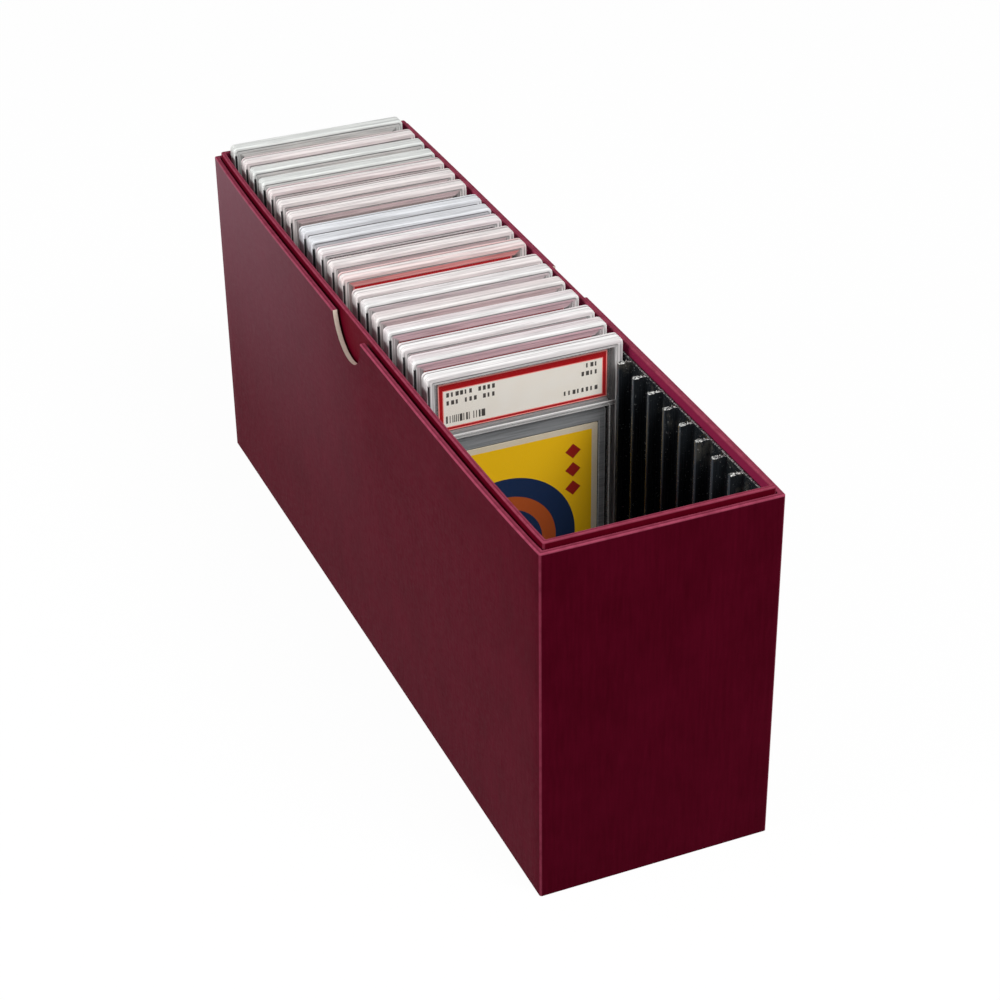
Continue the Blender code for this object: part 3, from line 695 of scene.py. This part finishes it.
# Rows of a shell's section, from the pocket over the edge to the window. Each has the inset and the
# depth in millimetres, and frost, painted shading and the share of painted pink reflection as they
# are along the top, then frost and painted shading as they are up the sides. The painted shading runs
# from a painted dark to a painted highlight. Some slabs have a front edge painted white, and some one
# painted grey with a painted white bevel.
POCKET_ROWS = ((5.3, 1.3, 0.0, 0.8, 0.0, 0.0, 0.8), (5.3, 0.05, 0.3, 0.8, 0.0, 0.3, 0.3))
WHITE_FRONT_ROWS = POCKET_ROWS + (
    (0.0, 0.05, 0.9, 0.90, 0.2, 0.9, 0.55),
    (0.0, 1.0, 0.9, 0.84, 0.2, 0.9, 0.72),
    (0.0, 1.9, 0.9, 0.84, 0.1, 0.9, 0.50),
    (0.0, 2.4, 1.0, 0.88, 0.0, 0.9, 0.90),
    (0.15, 2.85, 1.0, 0.92, 0.0, 0.95, 1.0),
    (0.45, 3.0, 1.0, 0.90, 0.0, 0.95, 0.90),
    (1.1, 3.0, 0.95, 0.86, 0.0, 0.9, 0.30),
    (1.3, 3.0, 0.95, 0.24, 0.0, 0.9, 1.0),
    (1.6, 3.0, 0.95, 0.24, 0.0, 0.9, 0.95),
    (1.8, 3.0, 0.9, 0.84, 1.0, 0.9, 0.60),
    (2.6, 3.0, 0.9, 0.88, 1.0, 0.9, 0.52),
    (2.8, 2.6, 0.9, 1.0, 0.5, 0.9, 0.95),
)
GREY_FRONT_ROWS = POCKET_ROWS + (
    (0.0, 0.05, 0.95, 1.0, 0.0, 0.9, 0.55),
    (0.0, 0.8, 0.95, 1.0, 0.0, 0.9, 0.72),
    (0.0, 1.0, 0.95, 0.80, 0.2, 0.9, 0.60),
    (0.0, 1.6, 0.95, 0.93, 0.2, 0.9, 0.50),
    (0.0, 2.4, 0.95, 0.86, 0.2, 0.9, 0.90),
    (0.15, 2.85, 0.95, 0.98, 0.2, 0.95, 1.0),
    (0.45, 3.0, 0.95, 1.0, 0.1, 0.95, 0.90),
    (1.0, 3.0, 0.95, 0.88, 0.3, 0.9, 0.30),
    (1.6, 3.0, 0.95, 0.94, 0.3, 0.9, 1.0),
    (2.1, 3.0, 0.95, 0.84, 0.3, 0.9, 0.80),
    (2.2, 3.0, 0.95, 0.24, 0.0, 0.9, 0.52),
    (2.5, 3.0, 0.95, 0.24, 0.0, 0.9, 0.52),
    (2.65, 3.0, 0.95, 0.90, 0.2, 0.9, 0.52),
    (2.8, 2.6, 1.0, 1.0, 0.0, 0.9, 0.95),
)
# The front shell's window begins clear, or under a frosted step that hides the label's edge
CLEAR_STEP_ROWS = (
    (3.2, 2.6, 1.0, 1.0, 0.0, 0.85, 0.36),
    (3.5, 2.6, 0.5, 0.9, 0.6, 0.80, 0.40),
    (3.7, 2.6, 0.0, 0.9, 0.3, 0.2, 0.4),
    (5.3, 2.6, 0.0, 0.8, 0.3, 0.0, 0.8),
)
FROSTED_STEP_ROWS = (
    (3.1, 2.6, 0.9, 0.90, 1.0, 0.85, 0.36),
    (3.9, 2.6, 0.75, 0.86, 1.0, 0.80, 0.40),
    (4.8, 2.6, 0.7, 0.92, 0.8, 0.2, 0.4),
    (5.1, 2.6, 0.3, 0.9, 1.0, 0.0, 0.4),
    (5.3, 2.6, 0.0, 0.8, 0.3, 0.0, 0.8),
)
WHITE_BACK_ROWS = POCKET_ROWS + (
    (0.0, 0.05, 0.9, 0.90, 0.2, 0.9, 0.50),
    (0.0, 1.2, 0.95, 0.82, 0.4, 0.9, 0.66),
    (0.0, 2.4, 0.95, 0.95, 0.2, 0.9, 0.56),
    (0.15, 2.85, 0.95, 1.0, 0.1, 0.9, 0.90),
    (0.5, 3.0, 0.95, 0.90, 0.2, 0.9, 0.60),
    (2.6, 3.0, 0.8, 0.70, 0.2, 0.9, 0.50),
    (2.8, 2.6, 0.9, 0.80, 0.0, 0.9, 0.50),
    (3.6, 2.6, 0.1, 0.80, 0.0, 0.1, 0.40),
)
GREY_BACK_ROWS = POCKET_ROWS + (
    (0.0, 0.05, 0.95, 1.0, 0.0, 0.9, 0.50),
    (0.0, 0.8, 0.95, 0.86, 0.2, 0.9, 0.66),
    (0.0, 1.0, 0.95, 0.24, 0.0, 0.9, 0.50),
    (0.0, 1.25, 0.95, 0.24, 0.0, 0.9, 0.40),
    (0.0, 1.5, 0.95, 0.86, 0.7, 0.9, 0.50),
    (0.0, 2.5, 0.95, 0.98, 0.2, 0.9, 0.62),
    (0.15, 2.85, 0.95, 1.0, 0.0, 0.9, 0.90),
    (0.5, 3.0, 0.95, 0.90, 0.2, 0.9, 0.60),
    (2.6, 3.0, 0.8, 0.70, 0.2, 0.9, 0.50),
    (2.8, 2.6, 0.9, 0.80, 0.0, 0.9, 0.50),
    (3.6, 2.6, 0.1, 0.80, 0.0, 0.1, 0.40),
)


def slab_shell(side, rows, y_middle, foot, blush):
    """One moulded half of a slab. side is -1 for the front half and 1 for the back one. The rows are
    carried round the slab's outline. The look of the top, with its painted light and shade, turns into
    that of the sides within 4 mm below the corners, and a painted dark line, the painted shade of a
    slit, runs down the front rim's left side, 0.4 to 1.3 mm from the edge."""
    inset, depth, frost, tone, reflection_share, side_frost, side_painted_shading = np.array(rows).T[:, :, None]
    half_height = SLAB_HEIGHT / 2
    stops = half_height - np.array([2.4, 3.0, 3.7, 4.2, 7.0]) * MM
    path = ring_path((), np.concatenate([-stops, stops]), steps=6)
    x, z = rings(SLAB_WIDTH / 2, half_height, SLAB_CORNER, inset[:, 0] * MM, path, 0.6 * MM)
    facing_x = path[1][:, 0]
    upright = np.abs(facing_x) * np.clip((half_height - np.abs(z) - 1.0 * MM) / (2.6 * MM), 0.0, 1.0)
    slit_shade = (inset > 0.4) & (inset < 1.35) & (depth > 2.9) & (facing_x < -0.9) & (upright > 0.95)
    values = {
        "frost": frost + (side_frost - frost) * upright,
        "tone": np.where(slit_shade & (side < 0), 0.0, tone + (side_painted_shading - tone) * upright),
        "blush": blush * reflection_share * (1 - 0.7 * upright),
        "along": upright,
    }
    y = np.broadcast_to(side * depth * MM + y_middle, x.shape)
    points = np.stack([x + slab_aside, y, z + foot + half_height], -1)
    parts = [surface(points, wrap_columns=True, caps=True, **values)]
    sunk = SLAB_HALF_DEPTH - RIM_RISE
    # The bar, the wall and the lip carry painted shading too: painted highlights along edges, painted grey
    # between
    bar = (
        (0.0, side * (sunk - 0.1 * MM), 0.6, 0.8),
        (0.0, side * (SLAB_HALF_DEPTH - 0.15 * MM), 0.9, 1.0),
        (0.35 * MM, side * SLAB_HALF_DEPTH, 0.8, 0.9),
        (0.45 * MM, side * SLAB_HALF_DEPTH, 0.15, 0.5),
    )
    divider = foot + DIVIDER_MIDDLE
    parts.append(upright_plate(DIVIDER_BAR_SIZE, divider, 0.4 * MM, bar, y_middle, steps=2))
    wall = ((0.0, side * 0.05 * MM, 0.75, 0.42), (0.0, side * (WINDOW_BACK + 0.1 * MM), 0.6, 0.42))
    parts.append(upright_plate(DIVIDER_WALL_SIZE, divider, 0.4 * MM, wall, y_middle, steps=2))
    lip = (
        (0.0, side * (sunk - 0.1 * MM), 0.3, 0.5),
        (0.0, side * (sunk + 0.18 * MM), 1.0, 1.0),
        (0.35 * MM, side * (sunk + 0.18 * MM), 0.9, 0.9),
        (0.7 * MM, side * (sunk - 0.1 * MM), 0.3, 0.4),
    )
    parts.append(upright_plate(LIP_SIZE, foot + LIP_MIDDLE, 2.0 * MM, lip, y_middle, closed=True))
    return parts


def card_frame(y_middle, foot):
    """The clear frame that centres the card: a section with a rounded outer land, a ledge 3 mm in,
    and the rabbet round the card, carried round as a closed ring."""
    # Each row: inset and depth in millimetres, frost, and painted shading, grey lands and painted highlights
    # on edges
    section = (
        (0.0, 1.0, 0.6, 0.20),
        (0.0, -0.8, 0.8, 0.50),
        (0.25, -1.0, 1.0, 0.70),
        (0.6, -1.0, 0.9, 0.34),
        (2.5, -1.0, 0.9, 0.34),
        (2.6, -1.0, 0.9, 0.42),
        (2.75, -0.8, 1.0, 1.0),
        (3.0, -0.55, 0.8, 0.30),
        (3.0, 0.0, 0.6, 0.20),
        (4.2, 0.0, 0.5, 0.20),
        (4.2, 1.0, 0.6, 0.30),
    )
    profile = [(inset * MM, depth * MM, frost, tone) for inset, depth, frost, tone in section]
    middle = foot + FRAME_MIDDLE
    frame_ring = upright_plate(FRAME_SIZE, middle, 1.6 * MM, profile, y_middle, closed=True, steps=4)
    points, faces, numbers = frame_ring
    rows = points.reshape(len(section), -1, 3)
    within = np.array([inset > 2.55 for inset, *_ in section])
    rows[..., 2] -= np.where(within[:, None] & (rows[..., 2] > middle), FRAME_HEAD_EXTRA, 0.0)
    return rows.reshape(-1, 3), faces, numbers


def thin_plate(size, middle, front, back, corner):
    """A card or label: a thin plate with a slight round to its corners and its edges."""
    ease = 0.05 * MM
    profile = ((ease, front), (0.0, front + ease), (0.0, back - ease), (ease, back))
    profile = [(*place, 0.0, 0.0) for place in profile]
    return upright_plate(size, middle, corner, profile, 0.0, steps=3, tightest=0.05 * MM)


rng = np.random.default_rng(7)
outer_paper = wrapped_board(
    "linen_embossed_paper_over_greyboard", "#3B000E", "#4C0418", "#984258", "#CDBFAF", "#460414"
)
tray_paper = wrapped_board(
    "plain_paper_over_tray_board", "#4A0010", "#560416", "#8E3C50", "#CDBFAF", "#7E2040"
)
strip_plastic = black_polystyrene("thermoformed_black_polystyrene")
shell_plastics = [
    clear_polystyrene(f"moulded_clear_polystyrene_{tint}", light, rosy, 0.008, 0.96)
    for tint, light, rosy in (
        ("neutral", "#FCFBFA", "#E0A6B6"),
        ("rosy", "#F8F3F1", "#DEA4AE"),
        ("greenish", "#F2F5F2", "#DCC0C0"),
        ("bluish", "#EEF0F4", "#C8C0CC"),
        # The reddish one has a stronger painted pink reflection, for the slab whose label is painted as if
        # lit
        ("reddish", "#F8F3F1", "#FF8080"),
    )
]
frame_plastic = clear_polystyrene("soft_clear_frame_plastic", "#E4E8EA", "#E4E8EA", 0.2, 0.92)
label_paper = printed_label("coated_label_paper", "#FF9C94", "#B4000C")
# Two slabs have a label of their own: one painted as if lit, with a brighter red and a wider painted
# glow, and one that is nearly plain
special_label_papers = {
    8: printed_label("coated_label_paper_painted_lit", "#FFA0A0", "#F4202C", edge=0.9),
    13: printed_label("coated_label_paper_pale", "#D6C4C2", "#D6C4C2", plain=1.0),
}
foam = closed_cell_foam("charcoal_polyethylene_foam")
card_prints = [
    printed_card("varnished_card_print_yellow", "#E0CCA8", "#FFC800", "#08264E", "#B45018", "#A01408"),
    printed_card("varnished_card_print_blue", "#DCD6C8", "#3F86B8", "#F0E6CC", "#C2452C", "#1D2D4E"),
    printed_card("varnished_card_print_green", "#D8D0BE", "#5E9A58", "#173A2A", "#E4B23A", "#7A2418"),
    printed_card("varnished_card_print_orange", "#E0D8C8", "#E08A34", "#5A2418", "#F2DDA0", "#1F4A66"),
]


def dress_boxes():
    """The walls of the outer box and of the tray, each as one wrapped band, their bases and the pad."""
    low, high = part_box("outer_box_wall_front")
    board = high.y - low.y
    half_x = high.x + CAD_GAP + board
    band = board_walls(half_x, -low.y, low.z, high.z, board, BOX_SPRINGS, notched=True, painted_sheen_share=0.6)
    sides = ("front", "back", "left", "right")
    names = [f"outer_box_wall_{side}" for side in sides]
    make_piece("outer_box_wrapped_walls", [band], outer_paper, "outer_box", names)
    low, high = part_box("inner_tray_wall_left")
    band = board_walls(-low.x, high.y, low.z, high.z, high.x - low.x, TRAY_SPRINGS)
    names = [f"inner_tray_wall_{side}" for side in sides]
    make_piece("inner_tray_wrapped_walls", [band], tray_paper, "inner_tray", names)
    base_board("outer_box_base", outer_paper, "outer_box")
    base_board("inner_tray_base", tray_paper, "inner_tray")
    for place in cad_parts["base_pad"].material_slots:
        place.material = foam


def dress_strips():
    """The two slotted strips, with the rough trimmed ends of their ribs and the sawn edge of their plate."""
    wall_low, wall_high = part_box("inner_tray_wall_left")
    wall = (wall_high.y, wall_low.z, wall_high.z)
    for name, side in (("left", -1), ("right", 1)):
        node_name = f"slot_strip_{name}"
        low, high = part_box(node_name)
        back = low.x if side < 0 else high.x
        face = back - side * STRIP_PLATE
        parts = [
            slot_strip(side, low.z, high.z, back, face, high.y, wall),
            trimmed_ends(side, high.z, face, wall, rng),
            trimmed_edge(side, high.z, back, face, high.y, wall),
        ]
        make_piece(f"{node_name}_moulding", parts, strip_plastic, "inner_tray", [node_name])


# For each slab, front to back: whether its front edge is painted white, whether its window begins
# under a frosted step, the plastic's tint, and how strongly the painted pink reflection of the
# label's border shows in it
SLAB_LOOKS = (
    (False, False, 0, 0.3), (True, True, 0, 0.75), (False, True, 0, 0.5), (True, True, 0, 0.7),
    (True, True, 1, 0.5), (True, True, 0, 0.35), (False, True, 1, 0.5), (False, True, 4, 0.8),
    (False, True, 1, 0.5), (False, False, 0, 0.9), (True, True, 3, 0.2), (False, True, 3, 0.1),
    (False, True, 1, 0.5), (False, True, 1, 0.4), (False, False, 1, 0.9), (True, True, 2, 0.1),
    (True, True, 2, 0.2), (False, False, 1, 0.6), (True, True, 2, 0.1),
)


def dress_slab(number):
    """One slab: two shells, a frame, a card and a label. Only the first slab's frame, card and label
    have CAD nodes that these stand for."""
    name = f"slab_{number:02d}"
    low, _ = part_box(f"{name}_front_shell")
    y_middle = low.y + SLAB_HALF_DEPTH
    foot = low.z
    white, stepped, tint, blush = SLAB_LOOKS[number - 1]
    front_rows = WHITE_FRONT_ROWS if white else GREY_FRONT_ROWS
    front_rows += FROSTED_STEP_ROWS if stepped else CLEAR_STEP_ROWS
    back_rows = WHITE_BACK_ROWS if white else GREY_BACK_ROWS
    for half, side, rows in (("front", -1, front_rows), ("back", 1, back_rows)):
        shell = slab_shell(side, rows, y_middle, foot, blush)
        node_name = f"{name}_{half}_shell"
        make_piece(f"{name}_{half}_cover", shell, shell_plastics[tint], name, [node_name])
    card = thin_plate(CARD_SIZE, foot + CARD_MIDDLE, y_middle - 0.7 * MM, y_middle - 0.3 * MM, 0.5 * MM)
    card_print = card_prints[(number - 1) * 3 % len(card_prints)]
    label = thin_plate(LABEL_SIZE, foot + LABEL_MIDDLE, y_middle - 0.2 * MM, y_middle + 0.2 * MM, 0.3 * MM)
    paper = special_label_papers.get(number, label_paper)
    for piece, part, material, slot, cad_name in (
        ("holder", card_frame(y_middle, foot), frame_plastic, "clear_frame", "card_frame"),
        ("print", card, card_print, "card_stock", "card"),
        ("title", label, paper, "label_paper", "label"),
    ):
        stands_for = [f"{name}_{cad_name}"] if number == 1 else []
        make_piece(f"{name}_{piece}", [part], material, name, stands_for)


def add_camera():
    """The photograph's camera, fitted to the box's corners: its focal length is 2406.5 px where the
    picture is 1000 px wide."""
    place = (-0.3256, -0.8130, 0.5985)
    azimuth = math.radians(-22.754)
    elevation = math.radians(31.686)
    roll = math.radians(-0.732)
    forward = Vector(
        (
            -math.sin(azimuth) * math.cos(elevation),
            math.cos(azimuth) * math.cos(elevation),
            -math.sin(elevation),
        )
    )
    level = forward.cross(Vector((0.0, 0.0, 1.0))).normalized()
    upright = level.cross(forward)
    right = math.cos(roll) * level + math.sin(roll) * upright
    up = math.cos(roll) * upright - math.sin(roll) * level
    data = bpy.data.cameras.new("photograph_camera")
    data.sensor_width = 36.0
    data.lens = data.sensor_width * 2406.5 / 1000
    camera = bpy.data.objects.new("photograph_camera", data)
    bpy.context.scene.collection.objects.link(camera)
    turned = Matrix((right, up, -forward)).transposed().to_4x4()
    camera.matrix_world = Matrix.Translation(place) @ turned
    bpy.context.scene.camera = camera
    bpy.context.scene.view_settings.view_transform = "Standard"


def add_lamp(name, place, target, size, power):
    """A square white softbox that faces its target."""
    data = bpy.data.lights.new(name, "AREA")
    data.size = size
    data.energy = power
    lamp = bpy.data.objects.new(name, data)
    bpy.context.scene.collection.objects.link(lamp)
    lamp.location = place
    aim = Vector(target) - Vector(place)
    lamp.rotation_euler = aim.to_track_quat("-Z", "Y").to_euler()


def background_share(tree):
    """1 for rays from the camera and for those that gloss or glass sends, 0 for the light itself."""
    path = node(tree, "LightPath")
    camera, glossy, passing = (path.outputs[f"Is {ray} Ray"] for ray in ("Camera", "Glossy", "Transmission"))
    seen = node(tree, "Math", {0: camera, 1: glossy}, operation="MAXIMUM")
    return node(tree, "Math", {0: seen, 1: passing}, operation="MAXIMUM")


def add_studio():
    """A white sweep under soft light: a key light high in front, and a lower one on the left."""
    white = (1.0, 1.0, 1.0, 1.0)
    world = bpy.data.worlds.new("soft_studio")
    bpy.context.scene.world = world
    world.use_nodes = True
    tree = world.node_tree
    tree.nodes.clear()
    level = node(tree, "MapRange", {"Value": background_share(tree), "To Min": 0.32, "To Max": 1.0})
    sky = node(tree, "Background", {"Color": white, "Strength": level})
    node(tree, "OutputWorld", {"Surface": sky})

    floor_paint = bpy.data.materials.new("matt_white_sweep")
    floor_paint.use_nodes = True
    tree = floor_paint.node_tree
    tree.nodes.clear()
    paint = node(tree, "BsdfDiffuse", {"Color": linear("#BCBCBC")})
    glow = node(tree, "Emission", {"Color": white, "Strength": 1.03})
    share = node(tree, "Math", {0: background_share(tree), 1: 0.94}, operation="MULTIPLY")
    both = node(tree, "MixShader", {0: share, 1: paint, 2: glow})
    node(tree, "OutputMaterial", {"Surface": both})
    reach = 4.0
    below = -0.1 * MM
    corners = [(-reach, -reach, below), (reach, -reach, below), (reach, reach, below), (-reach, reach, below)]
    mesh = bpy.data.meshes.new("sweep")
    mesh.from_pydata(corners, [], [(0, 1, 2, 3)])
    mesh.materials.append(floor_paint)
    sweep = bpy.data.objects.new("sweep", mesh)
    bpy.context.scene.collection.objects.link(sweep)

    add_lamp("softbox_key", (0.45, -1.25, 1.50), (0.0, 0.0, 0.15), 1.0, 31.0)
    add_lamp("softbox_left", (-1.75, -0.10, 0.60), (0.0, 0.0, 0.10), 0.8, 25.0)


add_camera()
add_studio()
dress_boxes()
dress_strips()
for slab_number in range(1, len(SLAB_LOOKS) + 1):
    dress_slab(slab_number)
